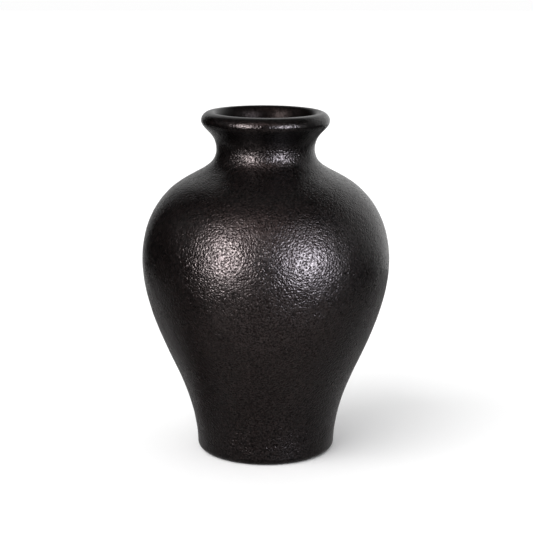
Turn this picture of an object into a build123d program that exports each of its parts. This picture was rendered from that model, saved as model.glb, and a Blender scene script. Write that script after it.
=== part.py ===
"""Black clay pot, built from hand-made clay members luted together at bevelled joints.

The pot stands on its foot ring, with the origin on the table under its axis and +Z up.
Every member is turned about Z, and neighbours meet face to face on one shared bevel.
"""

import os

from build123d import *

# Driving dimensions, in millimetres
pot_height = 250.0
belly_radius = 90.1
belly_height = 141.0
neck_radius = 36.0
neck_height = 227.0
lip_radius = 46.4
lip_height = 244.5
crest_radius = 38.9

foot_radius = 50.5
foot_edge_radius = 4.8
rest_inner_radius = 42.0

wall = 6.0
recess_depth = 1.2
floor_thickness = 7.8
floor_radius = 41.0
floor_bevel = 3.0

coil_reach = 10.0
coil_rise = 8.0
coil_hollow_radius = 12.0

# Heights on the outside at which one member ends and the next begins
foot_joint_height = 18.0
lower_joint_height = 82.0
belly_joint_height = 160.0
shoulder_joint_height = 211.0
neck_joint_height = 231.0

# Outside stations (radius, height): flank below the belly, shoulder, flare of the neck, top of the lip
flank = [(52.4, 22.0), (58.7, 45.0), (71.6, 75.0), (84.1, 107.0)]
shoulder = [(86.4, 167.0), (76.5, 186.0), (62.5, 199.0), (46.6, 208.0), (36.9, 217.0)]
neck_flare = (40.2, 235.0)
lip_top = (42.4, 249.5)
# Inside stations of the mouth, from just under the crest downwards
mouth = [(35.8, 247.3), (34.3, 241.0)]
# Directions of the two outlines at their ends, each at the natural speed of its curve
foot_draft = (0.03, 1.0)
crest_direction = (-1.0, 0.0)
straight_down = (0.0, -1.0)
natural_speed = (1.0, 1.0)

# Values that follow from the driving dimensions
floor_top = recess_depth + floor_thickness
foot_start = (foot_radius, foot_edge_radius)
belly = (belly_radius, belly_height)
neck = (neck_radius, neck_height)
lip = (lip_radius, lip_height)
crest = (crest_radius, pot_height)
inner_foot = (foot_radius - wall, floor_top)
outer_stations = [foot_start, *flank, belly, *shoulder, neck, neck_flare, lip, lip_top, crest]

# How far each joint cut reaches past the faces of the wall
cut_outside = 3.0
cut_inside = 2.0 * wall
cut_far = 1.5 * belly_radius

os.makedirs("parts", exist_ok=True)

# Outside outline, from the top of the rounded foot edge up to the crest of the lip
with BuildLine() as outline:
    Spline(outer_stations, tangents=[foot_draft, crest_direction], tangent_scalars=natural_speed)
outer_edge = outline.edge()


def inward_normal(point):
    """Unit normal of the outline at a point on it, towards the hollow of the pot."""
    climb = outer_edge.tangent_at(outer_edge.param_at_point(point))
    return Vector(-climb.Y, climb.X)


def inner_point(station):
    """Point on the inner face, one wall thickness in from a station of the outline."""
    point = Vector(*station)
    return point + inward_normal(point) * wall


def joint_cut(height):
    """Ends of a joint: a 45 degree bevel that falls towards the inside of the pot."""
    level = Edge.make_line((0.0, height), (cut_far, height))
    point = outer_edge.distance_to_with_closest_points(level)[1]
    normal = inward_normal(point)
    climb = Vector(normal.Y, -normal.X)
    slope = (normal - climb).normalized()
    return point - slope * cut_outside, point + slope * cut_inside


def region_above(height):
    """Closed outline of everything above a joint, clear of the wall on its other sides."""
    outer_end, inner_end = joint_cut(height)
    top = pot_height + cut_outside
    return [(cut_far, outer_end.Y), outer_end, inner_end, (0.0, inner_end.Y), (0.0, top), (cut_far, top)]


# Half section of the whole clay wall, from the rest face to the crest and back down inside
inner_stations = [crest, *mouth]
for station in [neck, *reversed(shoulder), belly, *reversed(flank)]:
    inner_stations.append(inner_point(station))
inner_stations.append(inner_foot)

with BuildSketch() as wall_section:
    with BuildLine() as wall_outline:
        Line((rest_inner_radius, 0.0), (foot_radius - foot_edge_radius, 0.0))
        RadiusArc((foot_radius - foot_edge_radius, 0.0), foot_start, -foot_edge_radius)
        add(outline.line)
        Spline(inner_stations, tangents=[crest_direction, straight_down], tangent_scalars=natural_speed)
        Polyline(
            inner_foot,
            (floor_radius - floor_bevel, floor_top),
            (floor_radius, recess_depth),
            (rest_inner_radius, 0.0),
        )
    make_face()

# Floor disc: the slab that the pot was started on, bevelled where the foot is luted round it
with BuildPart() as floor_disc:
    with BuildSketch(Plane.XZ) as floor_section:
        with BuildLine():
            Polyline(
                (0.0, recess_depth),
                (floor_radius, recess_depth),
                (floor_radius - floor_bevel, floor_top),
                (0.0, floor_top),
                close=True,
            )
        make_face()
    revolve(axis=Axis.Z)
floor_disc.part.label = "floor_disc"
export_step(floor_disc.part, "parts/floor_disc.step")

# Foot ring: first coil of the wall, which the pot rests on
with BuildPart() as foot_ring:
    with BuildSketch(Plane.XZ) as foot_section:
        add(wall_section.sketch)
        with BuildLine():
            Polyline(region_above(foot_joint_height), close=True)
        make_face(mode=Mode.SUBTRACT)
    revolve(axis=Axis.Z)
foot_ring.part.label = "foot_ring"
export_step(foot_ring.part, "parts/foot_ring.step")

# Corner coil: thin coil pressed into the corner of floor and wall, hollowed by a fingertip
with BuildPart() as corner_coil:
    with BuildSketch(Plane.XZ) as coil_section:
        with BuildLine():
            coil_toe = (foot_radius - wall - coil_reach, floor_top)
            coil_top = (foot_radius - wall, floor_top + coil_rise)
            RadiusArc(coil_toe, coil_top, coil_hollow_radius)
            Polyline(coil_top, (foot_radius, floor_top + coil_rise), (foot_radius, floor_top), coil_toe)
        make_face()
        add(wall_section.sketch, mode=Mode.SUBTRACT)
    revolve(axis=Axis.Z)
corner_coil.part.label = "corner_coil"
export_step(corner_coil.part, "parts/corner_coil.step")

# Lower wall: the flank that opens out from the foot
with BuildPart() as lower_wall:
    with BuildSketch(Plane.XZ) as lower_section:
        add(wall_section.sketch)
        with BuildLine():
            Polyline(region_above(foot_joint_height), close=True)
        make_face(mode=Mode.INTERSECT)
        with BuildLine():
            Polyline(region_above(lower_joint_height), close=True)
        make_face(mode=Mode.SUBTRACT)
    revolve(axis=Axis.Z)
lower_wall.part.label = "lower_wall"
export_step(lower_wall.part, "parts/lower_wall.step")

# Belly wall: the widest band of the pot
with BuildPart() as belly_wall:
    with BuildSketch(Plane.XZ) as belly_section:
        add(wall_section.sketch)
        with BuildLine():
            Polyline(region_above(lower_joint_height), close=True)
        make_face(mode=Mode.INTERSECT)
        with BuildLine():
            Polyline(region_above(belly_joint_height), close=True)
        make_face(mode=Mode.SUBTRACT)
    revolve(axis=Axis.Z)
belly_wall.part.label = "belly_wall"
export_step(belly_wall.part, "parts/belly_wall.step")

# Shoulder wall: closes the pot in from the belly to the root of the neck
with BuildPart() as shoulder_wall:
    with BuildSketch(Plane.XZ) as shoulder_section:
        add(wall_section.sketch)
        with BuildLine():
            Polyline(region_above(belly_joint_height), close=True)
        make_face(mode=Mode.INTERSECT)
        with BuildLine():
            Polyline(region_above(shoulder_joint_height), close=True)
        make_face(mode=Mode.SUBTRACT)
    revolve(axis=Axis.Z)
shoulder_wall.part.label = "shoulder_wall"
export_step(shoulder_wall.part, "parts/shoulder_wall.step")

# Neck collar: the short waist between shoulder and lip
with BuildPart() as neck_collar:
    with BuildSketch(Plane.XZ) as neck_section:
        add(wall_section.sketch)
        with BuildLine():
            Polyline(region_above(shoulder_joint_height), close=True)
        make_face(mode=Mode.INTERSECT)
        with BuildLine():
            Polyline(region_above(neck_joint_height), close=True)
        make_face(mode=Mode.SUBTRACT)
    revolve(axis=Axis.Z)
neck_collar.part.label = "neck_collar"
export_step(neck_collar.part, "parts/neck_collar.step")

# Rim roll: the last coil, rolled outwards into a thick lip
with BuildPart() as rim_roll:
    with BuildSketch(Plane.XZ) as rim_section:
        add(wall_section.sketch)
        with BuildLine():
            Polyline(region_above(neck_joint_height), close=True)
        make_face(mode=Mode.INTERSECT)
    revolve(axis=Axis.Z)
rim_roll.part.label = "rim_roll"
export_step(rim_roll.part, "parts/rim_roll.step")
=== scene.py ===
"""Black clay pot: the visual model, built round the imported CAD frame.

Every piece is a closed body of revolution that stands for one CAD node. Its outside carries
the leathery relief of the clay as real geometry, and its inside the rings left by the
potter's fingers. Lengths are in metres, in the frame's own axes, except where a name or a
heading says mm.
"""

import math

import bpy
import numpy as np
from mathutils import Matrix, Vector, noise


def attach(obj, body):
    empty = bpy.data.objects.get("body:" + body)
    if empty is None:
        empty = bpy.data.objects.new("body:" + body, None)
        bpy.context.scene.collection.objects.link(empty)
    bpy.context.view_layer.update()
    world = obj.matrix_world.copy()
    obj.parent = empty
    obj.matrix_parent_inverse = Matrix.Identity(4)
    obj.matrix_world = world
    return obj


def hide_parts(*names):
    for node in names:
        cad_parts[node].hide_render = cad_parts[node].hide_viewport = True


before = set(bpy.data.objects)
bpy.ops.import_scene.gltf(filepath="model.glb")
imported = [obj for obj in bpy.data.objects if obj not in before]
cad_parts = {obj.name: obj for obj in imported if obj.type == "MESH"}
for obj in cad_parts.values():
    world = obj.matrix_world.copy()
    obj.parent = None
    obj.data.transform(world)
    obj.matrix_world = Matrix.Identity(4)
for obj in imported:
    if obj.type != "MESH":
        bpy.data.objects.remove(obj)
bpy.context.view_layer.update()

MM = 0.001

# ---------------------------------------------------------------- outline of the pot, in mm
POT_HEIGHT = 250.0
WALL = 6.0
FOOT_RADIUS = 50.5
FOOT_EDGE = 4.8
REST_INNER_RADIUS = 42.0
RECESS_DEPTH = 1.2
FLOOR_TOP = 9.0
FLOOR_RADIUS = 41.0
FLOOR_BEVEL = 3.0
COIL_REACH = 10.0
COIL_RISE = 8.0

NECK_STATION = (36.0, 227.0)
OUTER_STATIONS = [
    (FOOT_RADIUS, FOOT_EDGE), (52.4, 22.0), (58.7, 45.0), (71.6, 75.0), (84.1, 107.0),
    (90.1, 141.0), (86.4, 167.0), (76.5, 186.0), (62.5, 199.0), (46.6, 208.0), (36.9, 217.0),
    NECK_STATION, (40.2, 235.0), (46.4, 244.5), (42.4, 249.5), (38.9, POT_HEIGHT),
]
MOUTH_STATIONS = [(35.8, 247.3), (34.3, 241.0)]
FOOT_DRAFT = (0.03, 1.0)
INWARDS = (-1.0, 0.0)
DOWN = (0.0, -1.0)

# Heights on the outside where one clay member is luted to the next
JOINTS = {"foot": 18.0, "lower": 82.0, "belly": 160.0, "shoulder": 211.0, "neck": 231.0}

# ---------------------------------------------------------------- fineness of the meshes
AROUND_FINE = 768
AROUND_COARSE = 192
FINE_STEP = 0.74
COARSE_STEP = 2.5
REST_RINGS = 6
EDGE_RINGS = 13
FLOOR_RINGS = 18
COIL_RINGS = 12
HUB_RADIUS = 1.5
BISECTIONS = 50
JOINT_SEARCH_STEPS = 3000


class Curve:
    """Cubic spline through (radius, height) points, with unit end tangents, by chord length."""

    def __init__(self, points, start, end):
        self.points = np.array(points, float)
        steps = np.linalg.norm(np.diff(self.points, axis=0), axis=1)
        self.at = np.concatenate([[0.0], np.cumsum(steps)])
        count = len(points)
        rows = np.zeros((count, count))
        right = np.zeros((count, 2))
        rows[0, 0] = rows[-1, -1] = 1.0
        right[0] = np.array(start) / np.linalg.norm(start)
        right[-1] = np.array(end) / np.linalg.norm(end)
        for i in range(1, count - 1):
            before, after = steps[i - 1], steps[i]
            rows[i, i - 1] = after
            rows[i, i] = 2.0 * (before + after)
            rows[i, i + 1] = before
            rise_before = (self.points[i] - self.points[i - 1]) / before
            rise_after = (self.points[i + 1] - self.points[i]) / after
            right[i] = 3.0 * (after * rise_before + before * rise_after)
        self.slopes = np.linalg.solve(rows, right)

    def __call__(self, s):
        """Point at chord length s."""
        i = int(np.clip(np.searchsorted(self.at, s) - 1, 0, len(self.at) - 2))
        span = self.at[i + 1] - self.at[i]
        t = (s - self.at[i]) / span
        hermite = (
            2 * t**3 - 3 * t**2 + 1, t**3 - 2 * t**2 + t, 3 * t**2 - 2 * t**3, t**3 - t**2,
        )
        return (
            hermite[0] * self.points[i] + hermite[1] * span * self.slopes[i]
            + hermite[2] * self.points[i + 1] + hermite[3] * span * self.slopes[i + 1]
        )

    def normal(self, s):
        """Unit normal at s, to the left of the way the curve runs."""
        step = 0.01
        way = self(s + step) - self(s - step)
        way /= np.linalg.norm(way)
        return np.array([-way[1], way[0]])

    def at_height(self, height, low, high):
        """The chord length between low and high where the curve is at a height."""
        for _ in range(BISECTIONS):
            middle = 0.5 * (low + high)
            if (self(middle)[1] < height) == (self(low)[1] < self(high)[1]):
                low = middle
            else:
                high = middle
        return 0.5 * (low + high)

    def stretch(self, low, high, step):
        """Evenly spaced points from one chord length to another, both ends included."""
        count = max(2, round(abs(high - low) / step) + 1)
        return [self(s) for s in np.linspace(low, high, count)]


# ---------------------------------------------------------------- the two surfaces of the wall
outer = Curve(OUTER_STATIONS, FOOT_DRAFT, INWARDS)
neck_index = OUTER_STATIONS.index(NECK_STATION)
lip_index = neck_index + 2


def inner_station(index):
    """One wall thickness in from a station of the outer curve."""
    return tuple(outer.points[index] + outer.normal(outer.at[index]) * WALL)


inner = Curve(
    [OUTER_STATIONS[-1], *MOUTH_STATIONS]
    + [inner_station(i) for i in range(neck_index, 0, -1)]
    + [(FOOT_RADIUS - WALL, FLOOR_TOP)],
    INWARDS,
    DOWN,
)


def foot_edge_points():
    """The rest face, from its inner edge out, and the rounded edge up to the outer curve."""
    flat_end = FOOT_RADIUS - FOOT_EDGE
    flat = [np.array([r, 0.0]) for r in np.linspace(REST_INNER_RADIUS, flat_end, REST_RINGS)]
    turn = [
        np.array([flat_end + FOOT_EDGE * math.sin(a), FOOT_EDGE * (1.0 - math.cos(a))])
        for a in np.linspace(0.0, math.pi / 2.0, EDGE_RINGS)
    ]
    return flat[:-1] + turn


def joint_ends(height):
    """Chord lengths, outside and inside, between which a 45 degree joint crosses the wall."""
    outside = outer.at_height(height, outer.at[0], outer.at[lip_index])
    point, inward = outer(outside), outer.normal(outside)
    climb = np.array([inward[1], -inward[0]])
    way = (inward - climb) / math.sqrt(2.0)
    reach, too_far = 2.5 * WALL, 1000.0

    def off_line(s):
        gap = inner(s) - point
        beside = abs(gap[0] * way[1] - gap[1] * way[0])
        return beside + (too_far if np.linalg.norm(gap) > reach else 0.0)

    inside = min(np.linspace(0.0, inner.at[-1], JOINT_SEARCH_STEPS), key=off_line)
    return outside, inside


joint_at = {name: joint_ends(height) for name, height in JOINTS.items()}


# ---------------------------------------------------------------- how the clay departs from round
# Fine relief, in mm: two noises, the second finer and weaker, over broad shallow dents
RELIEF_DEPTH = 0.07
RELIEF_PITCH = 1.2
RELIEF_GAIN = 1.6
FINER_PITCH = 0.6
FINER_SHARE = 0.45
DENT_DEPTH = 0.12
DENT_PITCH = 9.0
SEED = Vector((37.3, 11.9, 5.1))

# Slow unevenness of the wall: two lobes and three, which twist a little with height
LOBE_DEPTH = 0.35
LOBE_RADIUS = 70.0
LOBES_FULL_HEIGHT = 60.0
TWO_LOBES = 0.6
THREE_LOBES = 0.4
TWO_LOBES_PHASE = 0.7
TWO_LOBES_TWIST = 0.011
THREE_LOBES_TWIST = 0.02
LIP_TILT = 0.006
LIP_TILT_FROM = 190.0

# Rings left inside by the potter's fingers
FINGER_DEPTH = 0.22
FINGER_PITCH = 8.5
FINGER_WAVER = (0.5, 0.3)
FINGER_PHASE = 0.7


def smooth_step(low, high, value):
    """0 below low, 1 above high, and a smooth rise between, for numbers or arrays."""
    t = np.clip((np.asarray(value, float) - low) / (high - low), 0.0, 1.0)
    return t * t * (3.0 - 2.0 * t)


def hand_made(points):
    """Moves points by the slow unevenness of a hand-built pot: lobes, and a lip not quite level."""
    x, y, z = points[..., 0], points[..., 1], points[..., 2]
    angle = np.arctan2(y, x)
    two = np.cos(2.0 * angle + TWO_LOBES_PHASE + TWO_LOBES_TWIST * z)
    three = np.sin(3.0 * angle + THREE_LOBES_TWIST * z)
    lobes = TWO_LOBES * two + THREE_LOBES * three
    grow = 1.0 + LOBE_DEPTH * lobes * smooth_step(0.0, LOBES_FULL_HEIGHT, z) / LOBE_RADIUS
    rise = -LIP_TILT * x * smooth_step(LIP_TILT_FROM, POT_HEIGHT, z)
    return np.stack([x * grow, y * grow, z + rise], axis=-1)


def relief(points, depths):
    """Height of the leathery relief at each point, in mm, for a depth given ring by ring."""
    heights = np.zeros(points.shape[:2])
    for i, depth in enumerate(depths):
        if depth <= 0.0:
            continue
        for j, point in enumerate(points[i]):
            place = Vector(point)
            fine = noise.noise(place / RELIEF_PITCH + SEED)
            finer = noise.noise(place / (FINER_PITCH * RELIEF_PITCH) - SEED)
            dents = noise.noise(place / DENT_PITCH + SEED)
            ridges = RELIEF_GAIN * RELIEF_DEPTH * (fine + FINER_SHARE * finer)
            heights[i, j] = depth * (ridges + DENT_DEPTH * dents)
    return heights


# ---------------------------------------------------------------- surfaces as grids of points
class Surface:
    """Rings of points all round the pot, with normals, along a line of (radius, height) points.

    A line runs so that the clay is on its left: up the outside, over the lip, down the inside.
    Dullness is 0 on plain skin, 1 where the clay is dullest and below 0 where it is burnished.
    """

    def __init__(self, line, around, relief_depths, dullness, fingers=0.0):
        line = np.array(line)
        angles = 2.0 * math.pi * np.arange(around) / around
        spin = np.stack([np.cos(angles), np.sin(angles)], axis=-1)
        way = np.gradient(line, axis=0)
        way /= np.linalg.norm(way, axis=1)[:, None]
        points = np.concatenate(
            [line[:, None, :1] * spin[None], np.repeat(line[:, None, 1:], around, axis=1)], axis=2
        )
        away = np.concatenate(
            [way[:, None, 1:] * spin[None], np.repeat(-way[:, None, :1], around, axis=1)], axis=2
        )
        heights = relief(points, relief_depths)
        length = np.concatenate([[0.0], np.cumsum(np.linalg.norm(np.diff(line, axis=0), axis=1))])
        waver = FINGER_WAVER[0] * np.sin(angles + FINGER_PHASE)
        waver += FINGER_WAVER[1] * np.sin(2.0 * angles)
        phase = 2.0 * math.pi * length[:, None] / FINGER_PITCH + waver[None]
        heights += FINGER_DEPTH * np.asarray(fingers).reshape(-1, 1) * np.sin(phase)
        self.points = hand_made(points + heights[:, :, None] * away)
        along = np.gradient(self.points, axis=0)
        across = np.roll(self.points, -1, axis=1) - np.roll(self.points, 1, axis=1)
        cross = np.cross(across, along)
        self.normals = cross / np.linalg.norm(cross, axis=2)[:, :, None]
        self.relief = np.repeat(np.asarray(relief_depths, float)[:, None], around, axis=1)
        self.dullness = np.repeat(np.asarray(dullness, float)[:, None], around, axis=1)

    def rows(self, first, last):
        """The part of the surface from one ring to another, both included."""
        part = object.__new__(Surface)
        for name in ("points", "normals", "relief", "dullness"):
            setattr(part, name, getattr(self, name)[first : last + 1])
        return part


def plain_surface(line, dullness=0.0):
    """A coarse surface with no relief and one dullness all over."""
    return Surface(line, AROUND_COARSE, np.zeros(len(line)), np.full(len(line), dullness))


def flat_rings(radii, height):
    """A level face, its rings at the given radii in the order of the line."""
    return plain_surface([(radius, height) for radius in radii])


def strip(ring_a, ring_b):
    """Faces that join two rings of vertices, the second further along the line than the first."""
    count_a, count_b = len(ring_a), len(ring_b)
    faces = []
    if count_a == count_b:
        for j in range(count_a):
            k = (j + 1) % count_a
            faces.append((ring_a[j], ring_a[k], ring_b[k], ring_b[j]))
        return faces
    if count_a > count_b:
        fan = count_a // count_b
        for j in range(count_b):
            k = (j + 1) % count_b
            for m in range(fan):
                near = ring_b[j] if m < fan // 2 or count_b == 1 else ring_b[k]
                faces.append((ring_a[j * fan + m], ring_a[(j * fan + m + 1) % count_a], near))
            if count_b > 1:
                faces.append((ring_a[j * fan + fan // 2], ring_b[k], ring_b[j]))
        return faces
    fan = count_b // count_a
    for j in range(count_a):
        k = (j + 1) % count_a
        for m in range(fan):
            near = ring_a[j] if m < fan // 2 or count_a == 1 else ring_a[k]
            faces.append((near, ring_b[(j * fan + m + 1) % count_b], ring_b[j * fan + m]))
        if count_a > 1:
            faces.append((ring_a[j], ring_a[k], ring_b[j * fan + fan // 2]))
    return faces


def face_normal(a, b, c):
    """Unit normal of the triangle of three points, or straight up where it has no area."""
    flat = np.cross(b - a, c - a)
    size = np.linalg.norm(flat)
    return flat / size if size > 0.0 else np.array([0.0, 0.0, 1.0])


def make_piece(name, surfaces, closed=True, poles=None):
    """One closed mesh from surfaces in the order of their line, with straight faces between them.

    Where the line starts and ends on the axis, poles gives the heights of its two end points.
    """
    points, normals, relief_at, dullness_at = [], [], [], []
    faces = []
    rings = []
    for surface in surfaces:
        rows, around = surface.points.shape[:2]
        base = len(points)
        points.extend(surface.points.reshape(-1, 3))
        normals.extend(surface.normals.reshape(-1, 3))
        relief_at.extend(surface.relief.reshape(-1))
        dullness_at.extend(surface.dullness.reshape(-1))
        grid = base + np.arange(rows * around).reshape(rows, around)
        for i in range(rows - 1):
            faces.extend(strip(grid[i], grid[i + 1]))
        rings.append((grid[0], grid[-1]))
    smooth_faces = len(faces)
    for (_, last), (first, _) in zip(rings[:-1], rings[1:]):
        faces.extend(strip(last, first))
    if closed:
        faces.extend(strip(rings[-1][1], rings[0][0]))
    if poles:
        for height in poles:
            points.append(np.array([0.0, 0.0, height]))
            relief_at.append(0.0)
            dullness_at.append(0.0)
        faces.extend(strip([len(points) - 2], rings[0][0]))
        faces.extend(strip(rings[-1][1], [len(points) - 1]))
    mesh = bpy.data.meshes.new(name)
    points = np.array(points)
    mesh.from_pydata(points * MM, [], [tuple(int(v) for v in face) for face in faces])
    normals = np.array(normals)
    loop_normals = []
    for face in faces[:smooth_faces]:
        loop_normals.extend(normals[list(face)])
    for face in faces[smooth_faces:]:
        loop_normals.extend([face_normal(*points[list(face[:3])])] * len(face))
    for key, values in (("relief", relief_at), ("dullness", dullness_at)):
        layer = mesh.attributes.new(key, "FLOAT", "POINT")
        layer.data.foreach_set("value", np.array(values, dtype=np.float32))
    mesh.normals_split_custom_set([tuple(n) for n in loop_normals])
    piece = bpy.data.objects.new(name, mesh)
    bpy.context.scene.collection.objects.link(piece)
    return piece


# ---------------------------------------------------------------- the skin, from rest face to throat
# Heights, in mm, between which the look of the skin changes
RELIEF_FADE_IN = (0.3, 14.0)
LIP_FADE = (238.0, 245.0)
CREST_FADE = (247.0, POT_HEIGHT)
CREST_DULLING = (246.0, 249.5)
MOUTH_DULLING = (POT_HEIGHT, 247.0)
# Share of the relief that the lip and the crest lose, and how dull they are
LIP_SMOOTHING = 0.4
CREST_SMOOTHING = 0.75
LIP_DULLNESS = -0.6
CREST_DULLNESS = 0.4

skin_line = foot_edge_points()
skin_row = {"rest": 0}
last_at = 0.0
for joint in JOINTS:
    skin_line += outer.stretch(last_at, joint_at[joint][0], FINE_STEP)[1:]
    skin_row[joint] = len(skin_line) - 1
    last_at = joint_at[joint][0]
skin_line += outer.stretch(last_at, outer.at[-1], FINE_STEP)[1:]
crest_row = len(skin_line) - 1
skin_line += inner.stretch(0.0, joint_at["neck"][1], FINE_STEP)[1:]
skin_row["throat"] = len(skin_line) - 1

skin_heights = np.array([point[1] for point in skin_line])
past_crest = np.arange(len(skin_line)) > crest_row
skin_relief = smooth_step(*RELIEF_FADE_IN, skin_heights)
skin_relief *= 1.0 - LIP_SMOOTHING * smooth_step(*LIP_FADE, skin_heights)
skin_relief *= 1.0 - CREST_SMOOTHING * smooth_step(*CREST_FADE, skin_heights)
skin_relief[past_crest] = 0.0
skin_dullness = LIP_DULLNESS * smooth_step(*LIP_FADE, skin_heights)
skin_dullness += (CREST_DULLNESS - LIP_DULLNESS) * smooth_step(*CREST_DULLING, skin_heights)
skin_dullness[past_crest] = CREST_DULLNESS
skin_dullness[past_crest] += (1.0 - CREST_DULLNESS) * smooth_step(
    *MOUTH_DULLING, skin_heights[past_crest]
)
skin = Surface(skin_line, AROUND_FINE, skin_relief, skin_dullness)

# ---------------------------------------------------------------- the lining, from throat to floor
# Heights, in mm, between which the throat dulls and the finger rings fade away
THROAT_DULLING = (205.0, 225.0)
FINGERS_FROM_TOP = (215.0, 195.0)
FINGERS_FROM_FLOOR = (17.0, 30.0)

lining_line = [inner(joint_at["neck"][1])]
lining_row = {"neck": 0}
last_at = joint_at["neck"][1]
for joint in ("shoulder", "belly", "lower", "foot"):
    lining_line += inner.stretch(last_at, joint_at[joint][1], COARSE_STEP)[1:]
    lining_row[joint] = len(lining_line) - 1
    last_at = joint_at[joint][1]
lining_line += inner.stretch(last_at, inner.at[-1], COARSE_STEP)[1:]
lining_row["floor"] = len(lining_line) - 1
lining_heights = np.array([point[1] for point in lining_line])
finger_share = smooth_step(*FINGERS_FROM_TOP, lining_heights)
finger_share *= smooth_step(*FINGERS_FROM_FLOOR, lining_heights)
lining = Surface(
    lining_line,
    AROUND_COARSE,
    np.zeros(len(lining_line)),
    smooth_step(*THROAT_DULLING, lining_heights),
    fingers=finger_share,
)

# ---------------------------------------------------------------- the eight clay members
# Small steps between the hidden faces of neighbours, in mm
CORNER_STEP = 1.0
BASE_STEP = 0.1
COIL_TOP_BITE = 0.4
COIL_BACK_INSET = 0.05
# How far the coil's face is drawn in towards the corner: 0 would leave it flat
COIL_HOLLOW = 0.75


def floor_disc():
    """The slab that the pot was started on, seen from below inside the foot ring."""
    return make_piece(
        "clay_floor_disc",
        [
            flat_rings(np.linspace(HUB_RADIUS, FLOOR_RADIUS, FLOOR_RINGS), RECESS_DEPTH),
            flat_rings(np.linspace(FLOOR_RADIUS - FLOOR_BEVEL, HUB_RADIUS, FLOOR_RINGS), FLOOR_TOP),
        ],
        closed=False,
        poles=(RECESS_DEPTH, FLOOR_TOP),
    )


def foot_ring():
    """The first coil, from the rest face up to its joint, and back to the floor disc's bevel."""
    return make_piece(
        "clay_foot_ring",
        [
            skin.rows(skin_row["rest"], skin_row["foot"]),
            lining.rows(lining_row["foot"], lining_row["floor"]),
            flat_rings([FOOT_RADIUS - WALL - CORNER_STEP, FLOOR_RADIUS - FLOOR_BEVEL], FLOOR_TOP),
            flat_rings([FLOOR_RADIUS, FLOOR_RADIUS + BASE_STEP], RECESS_DEPTH),
        ],
    )


def wall_band(node, below, above):
    """One band of the wall between two joints."""
    outside = skin.rows(skin_row[below], skin_row[above])
    inside = lining.rows(lining_row[above], lining_row[below])
    return make_piece("clay_" + node, [outside, inside])


def coil_line():
    """Hollowed face of the corner coil, from its top on the wall down to its toe on the floor."""
    top = np.array([FOOT_RADIUS - WALL + COIL_TOP_BITE, FLOOR_TOP + COIL_RISE])
    toe = np.array([FOOT_RADIUS - WALL - COIL_REACH, FLOOR_TOP])
    corner = np.array([FOOT_RADIUS - WALL, FLOOR_TOP])
    elbow = corner * COIL_HOLLOW + 0.5 * (1.0 - COIL_HOLLOW) * (top + toe)
    ts = np.linspace(0.0, 1.0, COIL_RINGS)
    return [(1 - t) ** 2 * top + 2 * t * (1 - t) * elbow + t**2 * toe for t in ts]


def corner_coil():
    """The thin coil in the corner of floor and wall."""
    back = [
        (FOOT_RADIUS - WALL - COIL_BACK_INSET, FLOOR_TOP),
        (FOOT_RADIUS - WALL + COIL_TOP_BITE - COIL_BACK_INSET, FLOOR_TOP + COIL_RISE - COIL_TOP_BITE),
    ]
    return make_piece("clay_corner_coil", [plain_surface(coil_line()), plain_surface(back)])


def build_pot():
    """Every clay member by the name of the CAD node that it stands for."""
    return {
        "floor_disc": floor_disc(),
        "foot_ring": foot_ring(),
        "lower_wall": wall_band("lower_wall", "foot", "lower"),
        "belly_wall": wall_band("belly_wall", "lower", "belly"),
        "shoulder_wall": wall_band("shoulder_wall", "belly", "shoulder"),
        "neck_collar": wall_band("neck_collar", "shoulder", "neck"),
        "rim_roll": make_piece("clay_rim_roll", [skin.rows(skin_row["neck"], skin_row["throat"])]),
        "corner_coil": corner_coil(),
    }


# ---------------------------------------------------------------- material
# Noise scales are in waves per metre. Heights are in metres.
CLAY_IOR = 1.5
CLAY_SPECULAR_LEVEL = 0.295
DARK_CLAY = (0.0016, 0.0009, 0.0008, 1.0)
BROWN_CLAY = (0.0024, 0.0016, 0.0015, 1.0)
CLOUD_SCALE = 18.0
SPECK_SCALE = 520.0
FILM_SCALE = 820.0
PATCH_SCALE = 42.0
GRAIN_SCALE = 900.0

PEBBLE_SCALE = 620.0
PEBBLE_SMOOTHNESS = 0.25
PEBBLE_WARP_SCALE = 500.0
PEBBLE_WARP = 0.9 * MM
BUMP_DEPTH = 0.155 * MM
LEAST_BUMP = 0.08

# Mirror colour on the ridges, in the pits and where the clay is dullest; the dark colour in the pits is
# painted shade, for light trapped in them
RIDGE_TINT = (1.0, 0.91, 0.90, 1.0)
PIT_SHADE_TINT = (0.3, 0.26, 0.26, 1.0)
DULL_TINT = (0.25, 0.21, 0.2, 1.0)

# The clay is darker from the root of the neck up, and painted shade darkens the hollow under the lip
DARKER_UP_HEIGHTS = (0.204, 0.224)
DARKER_UP_SHARE = 0.72
# Heights, in metres, of the painted shade under the lip, and how much it darkens the specks
UNDER_LIP_SHADE_START = (0.224, 0.234)
UNDER_LIP_SHADE_END = (0.239, 0.244)
UNDER_LIP_SHADE_DEPTH = 0.6

ROUGHNESS = (0.24, 0.32)
DULL_ROUGHNESS = 0.08


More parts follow.
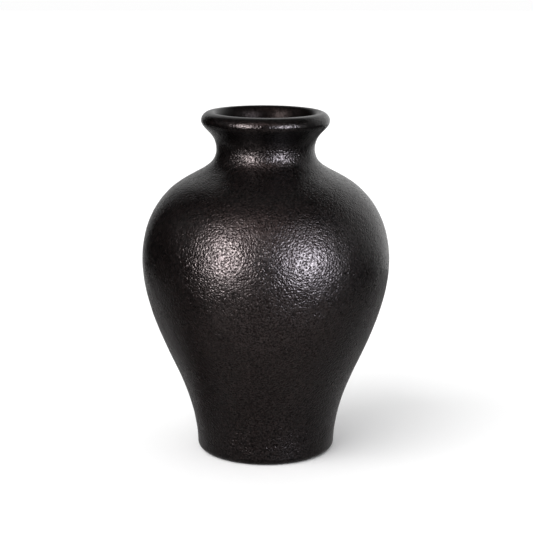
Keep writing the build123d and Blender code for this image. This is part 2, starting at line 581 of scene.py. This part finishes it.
class ClayNodes:
    """Short calls for the nodes of one material."""

    def __init__(self, name):
        self.material = bpy.data.materials.new(name)
        self.material.use_nodes = True
        self.nodes = self.material.node_tree.nodes
        self.links = self.material.node_tree.links
        self.shader = self.nodes["Principled BSDF"]
        self.place = self.nodes.new("ShaderNodeTexCoord").outputs["Object"]

    def add(self, kind, inputs=(), **settings):
        """A node with its settings, its inputs linked where the value is another node's output."""
        node = self.nodes.new("ShaderNode" + kind)
        for key, value in settings.items():
            setattr(node, key, value)
        for key, value in dict(inputs).items():
            if hasattr(value, "links"):
                self.links.new(value, node.inputs[key])
            else:
                node.inputs[key].default_value = value
        return node

    def noise_at(self, scale, detail=2.0, roughness=0.5):
        """Noise from 0 to 1, fixed to the pot."""
        inputs = {"Vector": self.place, "Scale": scale, "Detail": detail, "Roughness": roughness}
        return self.add("TexNoise", inputs).outputs["Fac"]

    def spread(self, value, span, to_span=(0.0, 1.0), **settings):
        """A value mapped from one span to another, and held at its ends."""
        inputs = {
            "Value": value,
            "From Min": span[0], "From Max": span[1], "To Min": to_span[0], "To Max": to_span[1],
        }
        return self.add("MapRange", inputs, **settings).outputs["Result"]

    def attribute(self, name):
        """A value that the mesh carries."""
        return self.add("Attribute", attribute_name=name).outputs["Fac"]

    def math(self, operation, a, b):
        """The result of one sum."""
        return self.add("Math", {0: a, 1: b}, operation=operation).outputs["Value"]

    def mix(self, factor, a, b, blend_type="MIX"):
        """One colour laid over another."""
        inputs = {"Factor": factor, 6: a, 7: b}
        return self.add("Mix", inputs, data_type="RGBA", blend_type=blend_type).outputs[2]

    def drive(self, **values):
        """Links values to the shader's sockets, named with _ for a space."""
        for key, value in values.items():
            self.links.new(value, self.shader.inputs[key.replace("_", " ")])


def pebble_cells(clay):
    """Distance from the middle of the nearest pebble of the relief, on a slightly warped grid."""
    warp = clay.add("TexNoise", {"Vector": clay.place, "Scale": PEBBLE_WARP_SCALE, "Detail": 0.0})
    push = clay.add(
        "VectorMath", {0: warp.outputs["Color"], 1: (PEBBLE_WARP,) * 3}, operation="MULTIPLY"
    )
    place = clay.add("VectorMath", {0: clay.place, 1: push.outputs["Vector"]}, operation="ADD")
    return clay.add(
        "TexVoronoi",
        {"Vector": place.outputs["Vector"], "Scale": PEBBLE_SCALE, "Smoothness": PEBBLE_SMOOTHNESS},
        feature="SMOOTH_F1",
    ).outputs["Distance"]


def clay_colour(clay, darker_up, under_lip_shade):
    """Near-black clay with soft brownish clouds and fine specks, darker from the neck up and with painted
    shade under the lip.
    """
    clouds = clay.add("ValToRGB", {"Fac": clay.noise_at(CLOUD_SCALE, 3.0)})
    dark, brown = clouds.color_ramp.elements
    dark.position, dark.color = 0.35, DARK_CLAY
    brown.position, brown.color = 0.68, BROWN_CLAY
    speck = clay.spread(clay.noise_at(SPECK_SCALE, 2.0, 0.6), (0.42, 0.68), (0.1, 3.0))
    # Painted shade under the lip: the specks are darkened in that band of heights
    painted_lip_shade = clay.math("MULTIPLY", under_lip_shade, UNDER_LIP_SHADE_DEPTH)
    speck = clay.math("MULTIPLY", speck, clay.math("SUBTRACT", darker_up, painted_lip_shade))
    return clay.mix(1.0, clouds.outputs["Color"], speck, blend_type="MULTIPLY")


def clay_tint(clay, pit_shade, dullness, darker_up):
    """Mirror colour of the clay: clear on the ridges, dark in the pits as painted shade, and dark on the
    dull parts.
    """
    # Painted shade: the pits get a darker mirror colour
    tint = clay.mix(pit_shade, RIDGE_TINT, PIT_SHADE_TINT)
    tint = clay.mix(dullness, tint, DULL_TINT)
    film = clay.spread(clay.noise_at(FILM_SCALE, 1.0, 0.5), (0.38, 0.62), (0.3, 1.0))
    return clay.mix(1.0, tint, clay.math("MULTIPLY", darker_up, film), blend_type="MULTIPLY")


def clay_bump(clay, cells, relief_share):
    """Normal of the finest relief: rounded pebbles with grain on them."""
    pebbles = clay.spread(cells, (0.05, 0.62), interpolation_type="SMOOTHSTEP")
    height = clay.math("ADD", pebbles, clay.noise_at(GRAIN_SCALE, 1.0, 0.5))
    height = clay.math("MULTIPLY", height, clay.math("ADD", relief_share, LEAST_BUMP))
    bump = clay.add("Bump", {"Height": height, "Strength": 1.0, "Distance": BUMP_DEPTH})
    return bump.outputs["Normal"]


def black_clay():
    """Reduction-fired black clay: charcoal, semi-gloss, leathery outside and dull in the throat."""
    clay = ClayNodes("black_clay")
    clay.shader.inputs["IOR"].default_value = CLAY_IOR
    clay.shader.inputs["Specular IOR Level"].default_value = CLAY_SPECULAR_LEVEL
    dullness = clay.attribute("dullness")
    relief_share = clay.attribute("relief")

    cells = pebble_cells(clay)
    # Painted shade: a mask of the pits, where the mirror colour is darkened as if light were trapped in
    # them
    pit_shade = clay.spread(cells, (0.2, 0.5), (1.0, 0.0), interpolation_type="SMOOTHSTEP")
    pit_shade = clay.math("MULTIPLY", pit_shade, relief_share)
    height_up = clay.add("SeparateXYZ", {"Vector": clay.place}).outputs["Z"]
    # Darker from the root of the neck up, in both the base colour and the mirror colour
    darker_up = clay.spread(height_up, DARKER_UP_HEIGHTS, (1.0, DARKER_UP_SHARE))
    # Painted shade: a band of heights in the hollow under the lip, where the base colour is darkened
    under_lip_shade = clay.math(
        "MULTIPLY",
        clay.spread(height_up, UNDER_LIP_SHADE_START),
        clay.spread(height_up, UNDER_LIP_SHADE_END, (1.0, 0.0)),
    )
    patches = clay.spread(clay.noise_at(PATCH_SCALE, 4.0, 0.6), (0.3, 0.7), ROUGHNESS)
    clay.drive(
        Base_Color=clay_colour(clay, darker_up, under_lip_shade),
        Specular_Tint=clay_tint(clay, pit_shade, dullness, darker_up),
        Roughness=clay.math("ADD", patches, clay.math("MULTIPLY", dullness, DULL_ROUGHNESS)),
        Normal=clay_bump(clay, cells, relief_share),
    )
    return clay.material


clay_material = black_clay()
for node, piece in build_pot().items():
    piece.data.materials.append(clay_material)
    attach(piece, "root")
    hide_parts(node)


# ---------------------------------------------------------------- floor, lights and camera
# Rectangles of the stage, as (left, right), (front, back)
FLOOR = ((-6.0, 6.0), (-6.0, 6.0))
TABLE = ((-0.45, 0.45), (-1.2, 0.42))
MAT = ((-0.45, -0.08), (-1.2, 0.02))
PAPER = ((-0.2, 0.26), (-0.9, -0.145))
SHADED_NEAR_PAPER = ((-0.2, 0.26), (-0.145, -0.064))

FLOOR_GREY = (0.9, 0.9, 0.9)
TABLE_GREY = (0.4, 0.39, 0.39)
MAT_GREY = (0.14, 0.12, 0.12)
PAPER_WHITE = (0.92, 0.83, 0.81)
# Painted shade: the paper near the foot is greyer, for the pot's shadow there as its reflections see it
NEAR_PAPER_SHADE_GREY = (0.72, 0.65, 0.63)
# Painted light: the paper glows, though it is no lamp, to brighten what the pot mirrors in front
PAPER_GLOW = 0.5

AMBIENT = 0.95
DARK_ROOM = 0.02
BACKDROP = 0.985

WHITE = (1.0, 1.0, 1.0)
LAMP_TARGET = Vector((0.0, 0.0, 0.15))
# Name, azimuth, elevation, distance, width, height, radiance and colour. Azimuth 0 is in
# front of the pot and 90 to its right, both angles in degrees
SOFTBOXES = [
    ("left_softbox", -36.5, 11.0, 1.3, 0.48, 0.68, 71.0, (1.0, 0.95, 0.96)),
    ("left_softbox_top", -40.0, 32.5, 1.3, 0.52, 0.34, 17.0, (1.0, 0.93, 0.93)),
    ("right_softbox", 35.8, 7.0, 1.3, 0.56, 0.58, 69.0, (0.92, 0.94, 1.05)),
    ("right_softbox_top", 41.0, 31.5, 1.3, 0.65, 0.54, 6.0, (0.95, 0.95, 1.0)),
    ("front_fill", -14.0, 47.0, 1.3, 1.4, 0.8, 2.6, (1.0, 0.8, 0.78)),
    ("right_fill", 70.0, 8.0, 1.6, 0.45, 1.4, 1.9, WHITE),
    ("right_side", 110.0, 18.5, 1.6, 1.0, 1.3, 0.7, WHITE),
    ("right_wall", 151.5, 15.0, 1.6, 1.46, 1.7, 1.12, WHITE),
    ("left_wall", -166.5, 14.0, 1.6, 0.88, 2.6, 0.72, WHITE),
    ("left_fill", -88.0, 32.0, 1.6, 0.6, 0.9, 0.7, WHITE),
    ("ceiling", 0.0, 88.0, 1.6, 1.5, 1.5, 0.34, WHITE),
]

KEY_AZIMUTH = -46.0
KEY_ELEVATION = 35.0
KEY_STRENGTH = 2.25
KEY_WIDTH = 62.0

CAMERA_PLACE = (0.0006, -1.1151, 0.3804)
CAMERA_TILT = 12.35
SENSOR_WIDTH = 36.0
LENS = 105.3
NEAREST, FURTHEST = 0.05, 30.0


def stage_sheet(name, ranges, height, colour, glow=0.0):
    """A level rectangle of plain matt paper that isn't part of the pot, glowing as painted light where
    glow is given.
    """
    mesh = bpy.data.meshes.new(name)
    (left, right), (front, back) = ranges
    corners = [(left, front, height), (right, front, height), (right, back, height), (left, back, height)]
    mesh.from_pydata(corners, [], [(0, 1, 2, 3)])
    sheet = bpy.data.objects.new(name, mesh)
    bpy.context.scene.collection.objects.link(sheet)
    material = bpy.data.materials.new("pale_" + name)
    material.use_nodes = True
    shader = material.node_tree.nodes["Principled BSDF"]
    shader.inputs["Base Color"].default_value = (*colour, 1.0)
    shader.inputs["Roughness"].default_value = 1.0
    shader.inputs["Specular IOR Level"].default_value = 0.0
    shader.inputs["Emission Color"].default_value = (*colour, 1.0)
    shader.inputs["Emission Strength"].default_value = glow
    mesh.materials.append(material)
    return sheet


def make_floor():
    """A floor that runs out of sight, and what only the pot's reflections see in its place.

    They see a grey table with a dark mat on the left and pale paper in front of the pot, which glows as
    painted light, with a greyer strip near the foot as painted shade.
    """
    floor = stage_sheet("floor", FLOOR, 0.0, FLOOR_GREY)
    floor.visible_glossy = False
    mirrored = [
        stage_sheet("table", TABLE, -2.0 * MM, TABLE_GREY),
        stage_sheet("mat", MAT, -MM, MAT_GREY),
        # Painted light: the paper glows as well as taking the lamps' light
        stage_sheet("paper", PAPER, 0.0, PAPER_WHITE, glow=PAPER_GLOW),
        # Painted shade: the greyer strip of paper next to the foot
        stage_sheet("shaded_near_paper", SHADED_NEAR_PAPER, 0.0, NEAR_PAPER_SHADE_GREY),
    ]
    for sheet in mirrored:
        sheet.visible_camera = False
        sheet.visible_diffuse = False
        sheet.visible_shadow = False


def way_to(azimuth, elevation):
    """Unit vector from the pot towards a light."""
    a, e = math.radians(azimuth), math.radians(elevation)
    return Vector((math.sin(a) * math.cos(e), -math.cos(a) * math.cos(e), math.sin(e)))


def softbox(name, azimuth, elevation, distance, width, height, radiance, colour):
    """A soft light that faces the belly of the pot and is seen only in its reflections."""
    way = way_to(azimuth, elevation)
    data = bpy.data.lights.new(name, "AREA")
    data.shape = "RECTANGLE"
    data.size, data.size_y = width, height
    data.energy = radiance * math.pi * width * height
    data.color = colour
    lamp = bpy.data.objects.new(name, data)
    lamp.location = LAMP_TARGET + way * distance
    lamp.rotation_euler = (-way).to_track_quat("-Z", "Y").to_euler()
    lamp.visible_camera = False
    lamp.visible_diffuse = False
    bpy.context.scene.collection.objects.link(lamp)


def key_light():
    """The broad light on the floor, which throws the pot's soft shadow to the right."""
    data = bpy.data.lights.new("key", "SUN")
    data.energy = KEY_STRENGTH
    data.angle = math.radians(KEY_WIDTH)
    lamp = bpy.data.objects.new("key", data)
    way = way_to(KEY_AZIMUTH, KEY_ELEVATION)
    lamp.rotation_euler = (-way).to_track_quat("-Z", "Y").to_euler()
    lamp.visible_glossy = False
    bpy.context.scene.collection.objects.link(lamp)


def make_world():
    """White behind the pot, an even soft light on the floor, and a dark room for the pot to mirror."""
    world = bpy.data.worlds.new("studio")
    bpy.context.scene.world = world
    world.use_nodes = True
    nodes, links = world.node_tree.nodes, world.node_tree.links
    nodes.clear()
    output = nodes.new("ShaderNodeOutputWorld")
    path = nodes.new("ShaderNodeLightPath")

    def light(value):
        background = nodes.new("ShaderNodeBackground")
        background.inputs["Color"].default_value = (value, value, value, 1.0)
        return background.outputs["Background"]

    def choose(ray, yes, no):
        mix = nodes.new("ShaderNodeMixShader")
        links.new(path.outputs[ray], mix.inputs["Fac"])
        links.new(no, mix.inputs[1])
        links.new(yes, mix.inputs[2])
        return mix.outputs["Shader"]

    mirrored = choose("Is Glossy Ray", light(DARK_ROOM), light(AMBIENT))
    links.new(choose("Is Camera Ray", light(BACKDROP), mirrored), output.inputs["Surface"])


def make_camera():
    """Camera at the height and distance of the view, looking down a little at the pot."""
    data = bpy.data.cameras.new("camera")
    data.sensor_width = SENSOR_WIDTH
    data.lens = LENS
    data.clip_start, data.clip_end = NEAREST, FURTHEST
    camera = bpy.data.objects.new("camera", data)
    camera.location = CAMERA_PLACE
    camera.rotation_euler = (math.radians(90.0 - CAMERA_TILT), 0.0, 0.0)
    bpy.context.scene.collection.objects.link(camera)
    bpy.context.scene.camera = camera


make_floor()
for settings in SOFTBOXES:
    softbox(*settings)
key_light()
make_world()
make_camera()
bpy.context.scene.view_settings.view_transform = "Standard"
